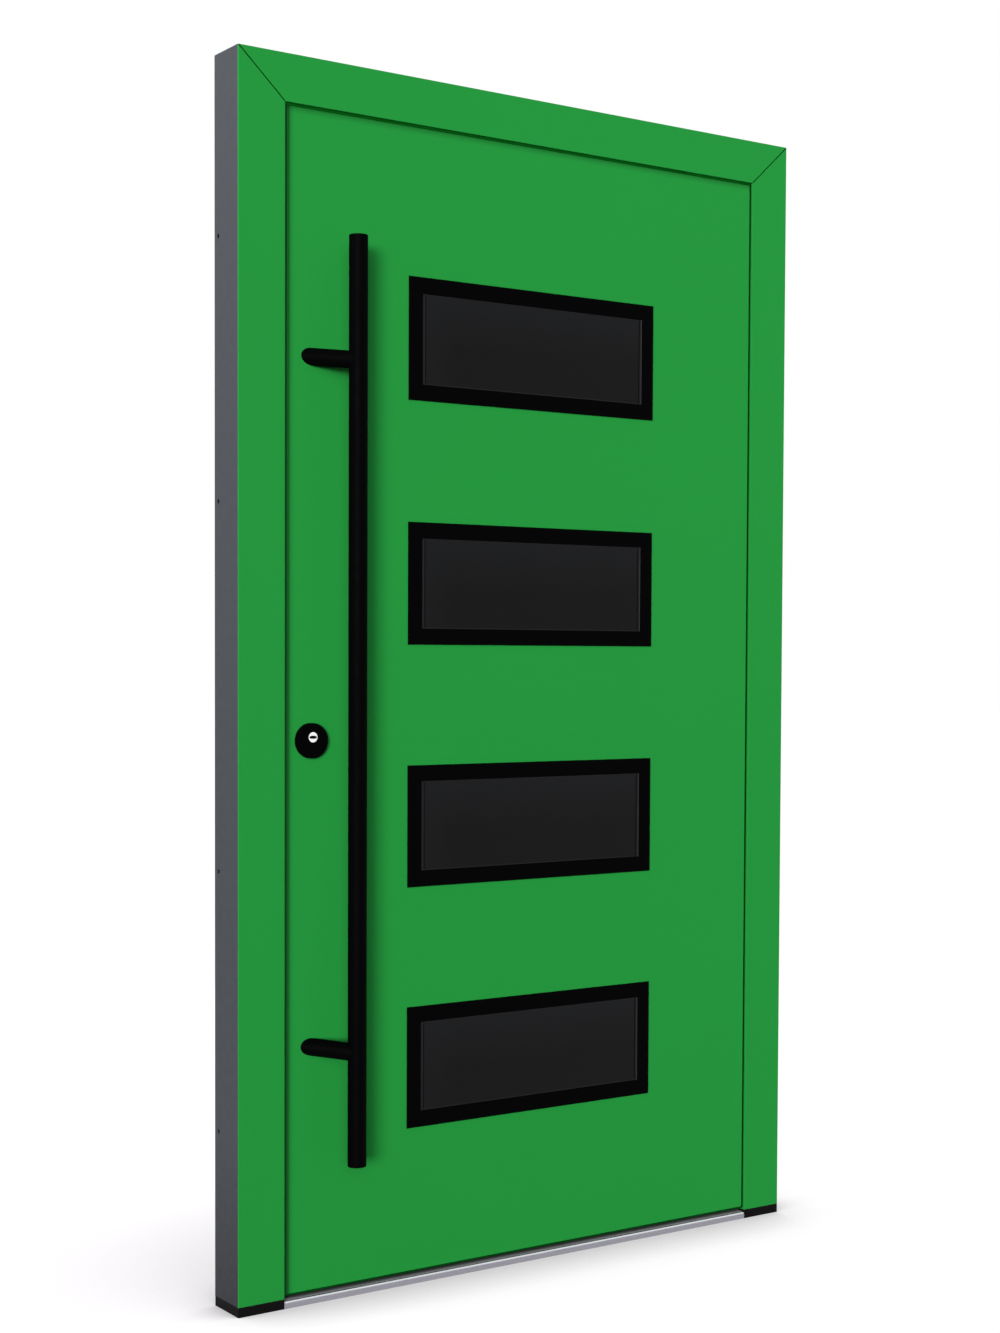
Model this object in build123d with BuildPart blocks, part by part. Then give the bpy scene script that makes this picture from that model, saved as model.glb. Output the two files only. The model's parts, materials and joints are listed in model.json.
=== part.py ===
from build123d import *
import os
from math import sqrt

# Front door set: an aluminium frame with a flush leaf that opens into the room.
# X runs to the hinge side, Y into the room, Z up. The origin is on the underside,
# halfway between the jambs and halfway through the frame's depth. Millimetres.

# Frame
frame_width = 1200
frame_height = 2100
frame_depth = 85
jamb_face = 87
head_face = 80
rebate_step = 20
stop_depth = 30
break_depth = 14
frame_wall = 2
strip_thickness = 2.5
cover_thickness = 2
cover_lip_depth = 26
cover_edge_radius = 0.8
mitre_gap = 1.2
mitre_bevel = 0.6
foot_height = 17
foot_bevel = 0.6
cleat_leg = 120
cleat_width = 50
cleat_clearance = 0.5

# Threshold
sill_height = 20
sill_nose_height = 9.6
sill_lip_height = 12
sill_lip_depth = 4
sill_upstand_foot = 15
sill_upstand_depth = 24
sill_wall = 2.4

# Leaf
leaf_recess = 2.5
leaf_gap = 5
leaf_lift = 24
shoulder_gap = 3
leaf_wall = 2.5
stile_face = 60
skin_thickness = 2
skin_edge_radius = 1.0
inner_return = 10
skin_return_gap = 2
seal_contact_gap = 0.3
seal_width = 10
seal_inset = 2
bottom_seal_width = 12

# Glazed openings
lite_count = 4
lite_width = 539
lite_height = 213
lite_bottom_margin = 252.5
lite_top_margin = 255.6
trim_width = 28
trim_proud = 3
trim_overlap = 10
trim_edge_radius = 0.8
trim_lip = 3
glass_clearance = 3
glass_gap = 0.3
outer_pane = 6
middle_pane = 4
inner_pane = 6
pane_spacing = 14
spacer_width = 12
spacer_inset = 3

# Pull bar on the outside
bar_diameter = 32
bar_length = 1565
bar_wall = 2
bar_centre_height = 1022
bar_standoff = 56
bar_sideways = 56.5
bar_end_radius = 1.2
post_diameter = 30
post_spacing = 1164
post_inset = 48
post_drop = 7
post_bolt_diameter = 10
post_bolt_depth = 6
post_bolt_length = 34
post_nut_diameter = 22
post_nut_thickness = 6
bolt_hole_clearance = 0.3

# Lock, cylinder and room-side lever
lock_inset = 45
lock_axis_depth = 54
lever_height = 1058
lever_to_cylinder = 92
faceplate_width = 24
faceplate_thickness = 3
faceplate_overrun = 200
case_below_cylinder = 61
case_above_lever = 48
case_depth = 76
case_thickness = 16
case_wall = 1.5
slide_clearance = 0.3
bolt_thickness = 12
bolt_height = 35
bolt_length = 46
bolt_setback = 0.5
latch_throw = 16
latch_height = 34
latch_length = 44
latch_nose_length = 9.6
latch_nose_depth = 9
latch_above_lever = 14
deadbolt_above_cylinder = 26
lower_bolt_height = 400
upper_bolt_from_top = 320
rod_width = 10
rod_thickness = 3
rod_end_gap = 27
rod_case_gap = 30
rosette_diameter = 60
rosette_thickness = 10
rosette_drop = 6
rosette_edge_radius = 2.5
disc_diameter = 20
disc_thickness = 4.5
disc_setback = 0.3
keyway_width = 12
keyway_height = 3.4
keyway_depth = 3
profile_radius = 8.5
profile_slot = 10
profile_height = 33
profile_clearance = 0.3
plug_diameter = 13
running_clearance = 0.05
cam_radius = 11
cam_thickness = 9
cam_width = 8
cam_gap = 0.5
cam_tip_relief = 1
cam_collar = 1
inner_rosette_thickness = 8
thumbturn_gap = 2
thumbturn_standoff = 14
thumbturn_length = 34
thumbturn_thickness = 8
thumbturn_depth = 20
lever_rose_diameter = 52
lever_rose_thickness = 9
lever_neck_diameter = 20
lever_grip_diameter = 18
lever_reach = 50
lever_length = 128
grip_edge_radius = 1.5
spindle_side = 8
spindle_end_gap = 1
neck_gap = 1
hub_radius = 11
hub_thickness = 11
hub_shoulder = 4

# Keeper and bolt plates in the frame
keeper_pivot_depth = 67
keeper_pivot_inset = 21
keeper_arm = 17
keeper_thickness = 8
keeper_height = 36
keeper_boss_radius = 5
keeper_pin_radius = 3
keeper_pin_length = 4
keeper_clearance = 1
strike_half_height = 30
strike_depth = 33
strike_inset = 0.2
latch_pocket_depth = 15
latch_pocket_clearance = 3
keep_thickness = 1.5
keep_half_height = 32
keep_half_width = 12
keep_bolt_clearance = 1.2

# Surface hinges on the room side
hinge_end_distance = 250
hinge_standoff = 12
hinge_knuckle_radius = 10
hinge_pin_radius = 5
hinge_height = 100
hinge_middle = 48
hinge_play = 0.5
hinge_plate_thickness = 5
hinge_plate_gap = 1
hinge_plate_corner = 7
hinge_plate_edge = 1
hinge_web = 20
hinge_leaf_plate_width = 50
hinge_frame_plate_width = 46
hinge_screw_radius = 3
hinge_screw_head = 5.5
hinge_screw_head_height = 2
hinge_screw_length = 14
hinge_screw_spacing = 64
hinge_screw_inset = 24
hinge_cap_height = 4
hinge_cap_edge = 1.5

# Fixing holes through both walls of each jamb
anchor_radius = 4
anchor_depth = 72
anchor_end_distance = 300
anchor_inner_spacing = 620

# How far a cut starts and ends outside what it cuts
cut_margin = 1

# Places worked out from the sizes above
half_width = frame_width / 2
front = -frame_depth / 2
back = frame_depth / 2
stop_back = front + stop_depth
inner_shell_front = stop_back + break_depth
opening_half = half_width - jamb_face
opening_top = frame_height - head_face
rebate_half = opening_half + rebate_step
rebate_top = opening_top + rebate_step
leaf_face = front + leaf_recess
leaf_shoulder = stop_back + shoulder_gap
leaf_half = opening_half - leaf_gap
leaf_top = opening_top - leaf_gap
wide_half = rebate_half - leaf_gap
wide_top = rebate_top - leaf_gap
stile_inner = leaf_half - skin_thickness - stile_face
rail_inner_top = leaf_top - skin_thickness - stile_face
rail_inner_bottom = leaf_lift + skin_thickness + stile_face
lowest_lite_height = leaf_lift + lite_bottom_margin + lite_height / 2
highest_lite_height = leaf_top - lite_top_margin - lite_height / 2
lite_pitch = (highest_lite_height - lowest_lite_height) / (lite_count - 1)
lite_heights = [lowest_lite_height + i * lite_pitch for i in range(lite_count)]
lite_opening_width = lite_width - 2 * trim_overlap
lite_opening_height = lite_height - 2 * trim_overlap
clear_width = lite_width - 2 * trim_width
clear_height = lite_height - 2 * trim_width
glass_width = lite_opening_width - 2 * glass_clearance
glass_height = lite_opening_height - 2 * glass_clearance
glass_front = leaf_face + glass_gap
glass_back = glass_front + outer_pane + middle_pane + inner_pane + 2 * pane_spacing
hardware_x = -leaf_half + lock_inset
cylinder_height = lever_height - lever_to_cylinder
latch_centre_height = lever_height + latch_above_lever
deadbolt_height = cylinder_height + deadbolt_above_cylinder
upper_bolt_height = opening_top - upper_bolt_from_top
faceplate_bottom = lower_bolt_height - faceplate_overrun
faceplate_top = upper_bolt_height + faceplate_overrun
case_bottom = cylinder_height - case_below_cylinder
case_top = lever_height + case_above_lever
post_x = -leaf_half + post_inset
bar_x = post_x + bar_sideways
bar_y = leaf_face - bar_standoff
lock_y = front + lock_axis_depth
edge_x = -wide_half
stile_edge = edge_x + skin_thickness
case_edge = stile_edge + leaf_wall
hinge_x = rebate_half - leaf_gap / 2
hinge_y = back + hinge_standoff
middle_height = frame_height / 2
hinge_heights = [hinge_end_distance, middle_height, frame_height - hinge_end_distance]
anchor_outer_spacing = frame_height - 2 * anchor_end_distance
jamb_base = foot_height

os.makedirs("parts", exist_ok=True)


def elevation(y):
    """A drawing plane seen from outside at depth y; a negative extrusion goes into the room."""
    return Plane(origin=(0, y, 0), x_dir=(1, 0, 0), z_dir=(0, -1, 0))


def section(x):
    """A drawing plane across the door at x, with Y to the right and Z up; extrusions run along X."""
    return Plane(origin=(x, 0, 0), x_dir=(0, 1, 0), z_dir=(1, 0, 0))


def finish(builder, name):
    builder.part.label = name
    export_step(builder.part, f"parts/{name}.step")


def block(x_range, y_range, z_range, mode=Mode.ADD):
    """A box between two corners, joined to or cut from the part that is open."""
    middle = [(low + high) / 2 for low, high in (x_range, y_range, z_range)]
    size = [abs(high - low) for low, high in (x_range, y_range, z_range)]
    with Locations(Vector(*middle)):
        Box(*size, mode=mode)


def rod(x, z, radius, y_from, y_to, mode=Mode.ADD):
    """A round bar or hole along Y."""
    with Locations((x, (y_from + y_to) / 2, z)):
        Cylinder(radius, y_to - y_from, rotation=(90, 0, 0), mode=mode)


def across(y, z, radius, x_from, x_to, mode=Mode.ADD):
    """A round bar or hole along X."""
    with Locations(((x_from + x_to) / 2, y, z)):
        Cylinder(radius, x_to - x_from, rotation=(0, 90, 0), mode=mode)


def mitre_plane(face_width, face_height, shift):
    """The joint at the lock side's top corner, facing the head, moved by shift along its normal."""
    length = sqrt(face_width**2 + face_height**2)
    normal = Vector(face_height / length, 0, face_width / length)
    corner = Vector(-half_width, 0, frame_height)
    return Plane(origin=corner + normal * shift, x_dir=(0, 1, 0), z_dir=normal)


def jamb_bar(width, y_from, y_to, top_width, top_height):
    """A hollow lock-side jamb bar, cut to the mitre at its top."""
    with BuildPart() as bar:
        block((-half_width, -half_width + width), (y_from, y_to), (jamb_base, frame_height))
        block(
            (-half_width + frame_wall, -half_width + width - frame_wall),
            (y_from + frame_wall, y_to - frame_wall),
            (jamb_base, frame_height),
            mode=Mode.SUBTRACT,
        )
        split(bisect_by=mitre_plane(top_width, top_height, 0), keep=Keep.BOTTOM)
    return bar.part


def head_bar(height, y_from, y_to, side_width):
    """A hollow head bar with a mitre at each end."""
    mitre = mitre_plane(side_width, height, 0)
    with BuildPart() as bar:
        block((-half_width, half_width), (y_from, y_to), (frame_height - height, frame_height))
        block(
            (-half_width, half_width),
            (y_from + frame_wall, y_to - frame_wall),
            (frame_height - height + frame_wall, frame_height - frame_wall),
            mode=Mode.SUBTRACT,
        )
        split(bisect_by=mitre, keep=Keep.TOP)
        split(bisect_by=mirrored_plane(mitre), keep=Keep.TOP)
    return bar.part


def mirrored_plane(plane):
    """The same joint at the hinge side."""
    origin = Vector(-plane.origin.X, plane.origin.Y, plane.origin.Z)
    normal = Vector(-plane.z_dir.X, plane.z_dir.Y, plane.z_dir.Z)
    return Plane(origin=origin, x_dir=(0, 1, 0), z_dir=normal)


# Frame profiles: an outside and a room-side shell, joined by plastic strips
outer_bar_face = jamb_face - cover_thickness
outer_head_face = head_face - cover_thickness
inner_bar_face = jamb_face - rebate_step
inner_head_face = head_face - rebate_step
shell_front = front + cover_thickness
plain_outer_jamb = jamb_bar(outer_bar_face, shell_front, stop_back, outer_bar_face, outer_head_face)
plain_inner_jamb = jamb_bar(inner_bar_face, inner_shell_front, back, inner_bar_face, inner_head_face)
anchor_heights = [
    middle_height + side * spacing / 2
    for spacing in (anchor_outer_spacing, anchor_inner_spacing)
    for side in (-1, 1)
]
bolt_heights = [lower_bolt_height, deadbolt_height, upper_bolt_height]
bolt_half_thickness = bolt_thickness / 2 + keep_bolt_clearance
bolt_half_height = bolt_height / 2 + keep_bolt_clearance

with BuildPart() as jamb_lock_outer:
    add(plain_outer_jamb)
finish(jamb_lock_outer, "jamb_lock_outer")

with BuildPart() as jamb_hinge_outer:
    mirror(plain_outer_jamb, about=Plane.YZ)
finish(jamb_hinge_outer, "jamb_hinge_outer")

with BuildPart() as head_outer:
    add(head_bar(outer_head_face, shell_front, stop_back, outer_bar_face))
finish(head_outer, "head_outer")

with BuildPart() as jamb_lock_inner:
    add(plain_inner_jamb)
    for height in anchor_heights:
        across(
            front + anchor_depth,
            height,
            anchor_radius,
            -half_width - cut_margin,
            -rebate_half + cut_margin,
            mode=Mode.SUBTRACT,
        )
    for height in bolt_heights:
        block(
            (-rebate_half - 2 * frame_wall, -rebate_half + cut_margin),
            (lock_y - bolt_half_thickness, lock_y + bolt_half_thickness),
            (height - bolt_half_height, height + bolt_half_height),
            mode=Mode.SUBTRACT,
        )
    strike_opening_half = strike_half_height + strike_inset
    block(
        (-rebate_half - strike_depth - strike_inset, -rebate_half + cut_margin),
        (inner_shell_front + frame_wall, back + cut_margin),
        (latch_centre_height - strike_opening_half, latch_centre_height + strike_opening_half),
        mode=Mode.SUBTRACT,
    )
finish(jamb_lock_inner, "jamb_lock_inner")

with BuildPart() as jamb_hinge_inner:
    mirror(plain_inner_jamb, about=Plane.YZ)
    for height in anchor_heights:
        across(
            front + anchor_depth,
            height,
            anchor_radius,
            rebate_half - cut_margin,
            half_width + cut_margin,
            mode=Mode.SUBTRACT,
        )
    for height in hinge_heights:
        for side in (-1, 1):
            rod(
                hinge_x + hinge_screw_inset + hinge_knuckle_radius,
                height + side * hinge_screw_spacing / 2,
                hinge_screw_radius,
                back - hinge_screw_length,
                back + cut_margin,
                mode=Mode.SUBTRACT,
            )
finish(jamb_hinge_inner, "jamb_hinge_inner")

with BuildPart() as head_inner:
    add(head_bar(inner_head_face, inner_shell_front, back, inner_bar_face))
finish(head_inner, "head_inner")

with BuildPart() as thermal_strips:
    for side in (-1, 1):
        for edge in (half_width, rebate_half + strip_thickness):
            ends = sorted((side * edge, side * (edge - strip_thickness)))
            strip_top = frame_height if edge == half_width else rebate_top
            block(ends, (stop_back, inner_shell_front), (jamb_base, strip_top))
    block(
        (-half_width + strip_thickness, half_width - strip_thickness),
        (stop_back, inner_shell_front),
        (frame_height - strip_thickness, frame_height),
    )
    block(
        (-rebate_half - strip_thickness, rebate_half + strip_thickness),
        (stop_back, inner_shell_front),
        (rebate_top, rebate_top + strip_thickness),
    )
finish(thermal_strips, "thermal_strips")

# Colour-coated covers clipped over the outside of the frame
cover_mitre = mitre_plane(jamb_face, head_face, -mitre_gap / 2)
head_mitre = mitre_plane(jamb_face, head_face, mitre_gap / 2)


def front_mitre_edges(part, plane):
    """The edge that a cover's mitred end makes with its front face."""
    on_joint = [e for e in part.edges() if abs(plane.to_local_coords(e.center()).Z) < 0.01]
    return [e for e in on_joint if abs(e.center().Y - front) < 0.01]


with BuildPart() as cover_jamb_lock:
    with BuildSketch(Plane.XY.offset(jamb_base)):
        with Locations((-half_width, front)):
            Rectangle(jamb_face, cover_thickness, align=(Align.MIN, Align.MIN))
        with Locations((-opening_half, front)):
            Rectangle(cover_thickness, cover_lip_depth, align=(Align.MAX, Align.MIN))
    extrude(amount=frame_height - jamb_base)
    split(bisect_by=cover_mitre, keep=Keep.BOTTOM)
    chamfer(front_mitre_edges(cover_jamb_lock.part, cover_mitre), mitre_bevel)
    fillet(cover_jamb_lock.edges().filter_by(Axis.Z).group_by(Axis.Y)[0], cover_edge_radius)
finish(cover_jamb_lock, "cover_jamb_lock")

with BuildPart() as cover_jamb_hinge:
    mirror(cover_jamb_lock.part, about=Plane.YZ)
finish(cover_jamb_hinge, "cover_jamb_hinge")

with BuildPart() as cover_head:
    with BuildSketch(section(-half_width)):
        with Locations((front, opening_top)):
            Rectangle(cover_thickness, head_face, align=(Align.MIN, Align.MIN))
            Rectangle(cover_lip_depth, cover_thickness, align=(Align.MIN, Align.MIN))
    extrude(amount=frame_width)
    split(bisect_by=head_mitre, keep=Keep.TOP)
    split(bisect_by=mirrored_plane(head_mitre), keep=Keep.TOP)
    for plane in (head_mitre, mirrored_plane(head_mitre)):
        chamfer(front_mitre_edges(cover_head.part, plane), mitre_bevel)
    fillet(cover_head.edges().filter_by(Axis.X).group_by(Axis.Y)[0], cover_edge_radius)
finish(cover_head, "cover_head")

with BuildPart() as corner_cleats:
    for side in (-1, 1):
        for y_from, y_to, jamb_side, head_side in (
            (shell_front, stop_back, outer_bar_face, outer_head_face),
            (inner_shell_front, back, inner_bar_face, inner_head_face),
        ):
            margin = frame_wall + cleat_clearance
            outer_x = half_width - margin
            inner_x = half_width - cleat_leg
            depth = (y_from + margin, y_to - margin)
            top = frame_height - margin
            block(
                sorted((side * outer_x, side * (outer_x - cleat_width))),
                depth,
                (frame_height - cleat_leg, top),
            )
            block(
                sorted((side * outer_x, side * inner_x)),
                depth,
                (top - cleat_width, top),
            )
finish(corner_cleats, "corner_cleats")

with BuildPart() as foot_blocks:
    for side in (-1, 1):
        block(sorted((side * opening_half, side * half_width)), (front, back), (0, foot_height))
    chamfer(foot_blocks.edges().filter_by(Axis.Z), foot_bevel)
finish(foot_blocks, "foot_blocks")

# Threshold
with BuildPart() as sill_outer:
    with BuildSketch(section(-opening_half)):
        with BuildLine():
            Polyline(
                (front, 0),
                (front, sill_nose_height),
                (front + sill_lip_depth, sill_lip_height),
                (front + sill_upstand_depth, sill_upstand_foot),
                (front + sill_upstand_depth, sill_height),
                (stop_back, sill_height),
                (stop_back, 0),
                close=True,
            )
        make_face()
        with BuildLine():
            Polyline(
                (front + sill_wall, 2 * sill_wall),
                (front + sill_wall, sill_nose_height - sill_wall / 2),
                (front + sill_lip_depth, sill_lip_height - sill_wall),
                (front + sill_upstand_depth, sill_upstand_foot - sill_wall),
                (stop_back - sill_wall, sill_upstand_foot - sill_wall),
                (stop_back - sill_wall, 2 * sill_wall),
                close=True,
            )
        make_face(mode=Mode.SUBTRACT)
    extrude(amount=2 * opening_half)
finish(sill_outer, "sill_outer")

with BuildPart() as sill_break:
    block((-opening_half, opening_half), (stop_back, inner_shell_front), (0, sill_height))
    block(
        (-opening_half, opening_half),
        (stop_back + sill_wall, inner_shell_front - sill_wall),
        (sill_wall, sill_height - sill_wall),
        mode=Mode.SUBTRACT,
    )
finish(sill_break, "sill_break")

with BuildPart() as sill_inner:
    block((-opening_half, opening_half), (inner_shell_front, back), (0, sill_height))
    block(
        (-opening_half, opening_half),
        (inner_shell_front + sill_wall, back - sill_wall),
        (sill_wall, sill_height - sill_wall),
        mode=Mode.SUBTRACT,
    )
    fillet(sill_inner.edges().filter_by(Axis.X).group_by(Axis.Z)[-1].sort_by(Axis.Y)[-1], sill_wall)
finish(sill_inner, "sill_inner")

# Seals
gasket_outer_half = opening_half + seal_inset + seal_width
gasket_top = opening_top + seal_inset + seal_width
with BuildPart() as frame_gasket:
    with BuildSketch(elevation(stop_back)):
        with Locations((0, (sill_height + gasket_top) / 2)):
            Rectangle(2 * gasket_outer_half, gasket_top - sill_height)
        with Locations((0, (sill_height + gasket_top) / 2 - seal_width)):
            Rectangle(
                2 * (gasket_outer_half - seal_width), gasket_top - sill_height, mode=Mode.SUBTRACT
            )
    extrude(amount=-(shoulder_gap - seal_contact_gap))
finish(frame_gasket, "frame_gasket")

with BuildPart() as bottom_seal:
    block(
        (-leaf_half + leaf_gap, leaf_half - leaf_gap),
        (inner_shell_front - bottom_seal_width, inner_shell_front),
        (sill_height + seal_contact_gap, leaf_lift + skin_thickness),
    )
finish(bottom_seal, "bottom_seal")


def cut_cylinder_profile(y_from, y_to, clearance):
    """A euro cylinder's keyhole shape, cut through between two depths."""
    with BuildSketch(elevation(y_from)) as keyhole:
        with Locations((hardware_x, cylinder_height)):
            Circle(profile_radius + clearance)
        with Locations((hardware_x, cylinder_height - (profile_height - profile_radius) / 2)):
            Rectangle(profile_slot + 2 * clearance, profile_height - profile_radius + 2 * clearance)
    extrude(keyhole.sketch, amount=y_from - y_to, mode=Mode.SUBTRACT)


def cut_lites(y_from, y_to):
    for height in lite_heights:
        block(
            (-lite_opening_width / 2, lite_opening_width / 2),
            (y_from, y_to),
            (height - lite_opening_height / 2, height + lite_opening_height / 2),
            mode=Mode.SUBTRACT,
        )


# Leaf frame: stepped hollow stiles and rails between the two skins
skin_inside = leaf_face + skin_thickness
room_skin_inside = back - skin_thickness
slot_half = case_thickness / 2 + slide_clearance
bolt_slot_half = bolt_thickness / 2 + slide_clearance


def stepped_profile(plane, inner, narrow, wide, sign):
    """The stepped hollow profile of stile and rail, from its inner side to its outer steps."""
    with BuildSketch(plane) as profile:
        with BuildLine():
            Polyline(
                (sign * inner, skin_inside),
                (sign * narrow, skin_inside),
                (sign * narrow, leaf_shoulder),
                (sign * wide, leaf_shoulder),
                (sign * wide, room_skin_inside),
                (sign * inner, room_skin_inside),
                close=True,
            )
        make_face()
        offset(amount=-leaf_wall, kind=Kind.INTERSECTION, mode=Mode.SUBTRACT)
    return profile.sketch


stile_bottom = leaf_lift + skin_thickness
stile_top = wide_top - skin_thickness
narrow_top = leaf_top - skin_thickness


def stile(sign):
    with BuildPart() as bar:
        with BuildSketch(Plane.XY.offset(stile_bottom)):
            add(stepped_profile(Plane.XY, stile_inner, leaf_half - skin_thickness, -stile_edge, sign))
        extrude(amount=stile_top - stile_bottom)
        block(
            sorted((sign * stile_inner, -sign * stile_edge)),
            (skin_inside, leaf_shoulder),
            (narrow_top, stile_top),
            mode=Mode.SUBTRACT,
        )
    return bar.part


with BuildPart() as stile_lock:
    add(stile(-1))
    block(
        (stile_edge - cut_margin, case_edge + cut_margin),
        (lock_y - slot_half, lock_y + slot_half),
        (case_bottom - slide_clearance, case_top + slide_clearance),
        mode=Mode.SUBTRACT,
    )
    for height in (lower_bolt_height, upper_bolt_height):
        block(
            (stile_edge - cut_margin, case_edge + cut_margin),
            (lock_y - bolt_slot_half, lock_y + bolt_slot_half),
            (height - bolt_height / 2 - slide_clearance, height + bolt_height / 2 + slide_clearance),
            mode=Mode.SUBTRACT,
        )
    for side in (-1, 1):
        rod(
            post_x,
            bar_centre_height + side * post_spacing / 2,
            post_bolt_diameter / 2 + bolt_hole_clearance,
            skin_inside - cut_margin,
            skin_inside + leaf_wall + cut_margin,
            mode=Mode.SUBTRACT,
        )
    rod(
        hardware_x,
        lever_height,
        lever_neck_diameter / 2,
        room_skin_inside - leaf_wall - cut_margin,
        room_skin_inside + cut_margin,
        mode=Mode.SUBTRACT,
    )
    cut_cylinder_profile(skin_inside - cut_margin, room_skin_inside + cut_margin, profile_clearance)
finish(stile_lock, "stile_lock")

with BuildPart() as stile_hinge:
    add(stile(1))
    for height in hinge_heights:
        for side in (-1, 1):
            rod(
                hinge_x - hinge_screw_inset - hinge_knuckle_radius,
                height + side * hinge_screw_spacing / 2,
                hinge_screw_radius,
                room_skin_inside - leaf_wall - cut_margin,
                room_skin_inside + cut_margin,
                mode=Mode.SUBTRACT,
            )
finish(stile_hinge, "stile_hinge")

with BuildPart() as rail_top:
    with BuildSketch(Plane(origin=(-stile_inner, 0, 0), x_dir=(0, 0, 1), z_dir=(-1, 0, 0))):
        add(stepped_profile(Plane.XY, rail_inner_top, narrow_top, stile_top, 1))
    extrude(amount=-2 * stile_inner)
finish(rail_top, "rail_top")

with BuildPart() as rail_bottom:
    block(
        (-stile_inner, stile_inner),
        (skin_inside, room_skin_inside),
        (stile_bottom, rail_inner_bottom),
    )
    block(
        (-stile_inner, stile_inner),
        (skin_inside + leaf_wall, room_skin_inside - leaf_wall),
        (stile_bottom + leaf_wall, rail_inner_bottom - leaf_wall),
        mode=Mode.SUBTRACT,
    )
    block(
        (-stile_inner, stile_inner),
        (inner_shell_front - bottom_seal_width, inner_shell_front),
        (leaf_lift, leaf_lift + skin_thickness),
        mode=Mode.SUBTRACT,
    )
finish(rail_bottom, "rail_bottom")

with BuildPart() as core_foam:
    block(
        (-stile_inner, stile_inner),
        (skin_inside, room_skin_inside),
        (rail_inner_bottom, rail_inner_top),
    )
    cut_lites(skin_inside - cut_margin, room_skin_inside + cut_margin)
finish(core_foam, "core_foam")


# Skins: folded sheet trays
with BuildPart() as skin_outer:
    block((-leaf_half, leaf_half), (leaf_face, leaf_shoulder - skin_return_gap), (leaf_lift, leaf_top))
    fillet(skin_outer.faces().sort_by(Axis.Y)[0].edges(), skin_edge_radius)
    block(
        (-leaf_half + skin_thickness, leaf_half - skin_thickness),
        (skin_inside, leaf_shoulder),
        (leaf_lift + skin_thickness, leaf_top - skin_thickness),
        mode=Mode.SUBTRACT,
    )
    cut_lites(leaf_face - cut_margin, skin_inside + cut_margin)
    for side in (-1, 1):
        rod(
            post_x,
            bar_centre_height + side * post_spacing / 2,
            post_bolt_diameter / 2 + bolt_hole_clearance,
            leaf_face - cut_margin,
            skin_inside + cut_margin,
            mode=Mode.SUBTRACT,
        )
    cut_cylinder_profile(leaf_face - cut_margin, skin_inside + cut_margin, profile_clearance)
finish(skin_outer, "skin_outer")

with BuildPart() as skin_inner:
    block((-wide_half, wide_half), (back - inner_return, back), (leaf_lift, wide_top))
    fillet(skin_inner.faces().sort_by(Axis.Y)[-1].edges(), skin_edge_radius)
    block(
        (-wide_half + skin_thickness, wide_half - skin_thickness),
        (back - inner_return, room_skin_inside),
        (leaf_lift + skin_thickness, wide_top - skin_thickness),
        mode=Mode.SUBTRACT,
    )
    cut_lites(room_skin_inside - cut_margin, back + cut_margin)
    rod(
        hardware_x,
        lever_height,
        lever_neck_diameter / 2,
        room_skin_inside - cut_margin,
        back + cut_margin,
        mode=Mode.SUBTRACT,
    )
    cut_cylinder_profile(room_skin_inside - cut_margin, back + cut_margin, profile_clearance)
    for height in hinge_heights:
        for side in (-1, 1):
            rod(
                hinge_x - hinge_screw_inset - hinge_knuckle_radius,
                height + side * hinge_screw_spacing / 2,
                hinge_screw_radius,
                room_skin_inside - cut_margin,
                back + cut_margin,
                mode=Mode.SUBTRACT,
            )
finish(skin_inner, "skin_inner")


# Glazed openings: trim rings and sealed triple glass units
def ring(y_from, y_to, centre, outer, inner):
    """A flat rectangular frame between two depths."""
    with BuildSketch(elevation(y_from)) as outline:
        with Locations((0, centre)):
            Rectangle(*outer)
            Rectangle(*inner, mode=Mode.SUBTRACT)
    extrude(outline.sketch, amount=y_from - y_to)


for number, height in enumerate(reversed(lite_heights), start=1):
    with BuildPart() as trim_outer:
        ring(
            leaf_face - trim_proud,
            leaf_face,
            height,
            (lite_width, lite_height),
            (clear_width, clear_height),
        )
        fillet(trim_outer.faces().sort_by(Axis.Y)[0].edges(), trim_edge_radius)
        ring(
            leaf_face,
            leaf_face + skin_thickness,
            height,
            (lite_opening_width - glass_gap, lite_opening_height - glass_gap),
            (glass_width + glass_clearance, glass_height + glass_clearance),
        )
    finish(trim_outer, f"trim_outer_{number}")

    with BuildPart() as trim_inner:
        ring(
            back,
            back + trim_proud,
            height,
            (lite_width, lite_height),
            (clear_width, clear_height),
        )
        fillet(trim_inner.faces().sort_by(Axis.Y)[-1].edges(), trim_edge_radius)
        ring(
            glass_back + glass_gap,
            back,
            height,
            (clear_width + 2 * trim_lip, clear_height + 2 * trim_lip),
            (clear_width, clear_height),
        )
    finish(trim_inner, f"trim_inner_{number}")

    with BuildPart() as glass_unit:
        depth = glass_front
        for thickness in (outer_pane, middle_pane, inner_pane):
            block(
                (-glass_width / 2, glass_width / 2),
                (depth, depth + thickness),
                (height - glass_height / 2, height + glass_height / 2),
            )
            depth += thickness + pane_spacing
    finish(glass_unit, f"glass_unit_{number}")

with BuildPart() as glass_spacers:
    first_gap = glass_front + outer_pane
    second_gap = first_gap + pane_spacing + middle_pane
    spacer_outer = (glass_width - 2 * spacer_inset, glass_height - 2 * spacer_inset)
    spacer_inner = (spacer_outer[0] - 2 * spacer_width, spacer_outer[1] - 2 * spacer_width)
    for height in lite_heights:
        for depth in (first_gap, second_gap):
            ring(depth, depth + pane_spacing, height, spacer_outer, spacer_inner)
finish(glass_spacers, "glass_spacers")

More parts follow.
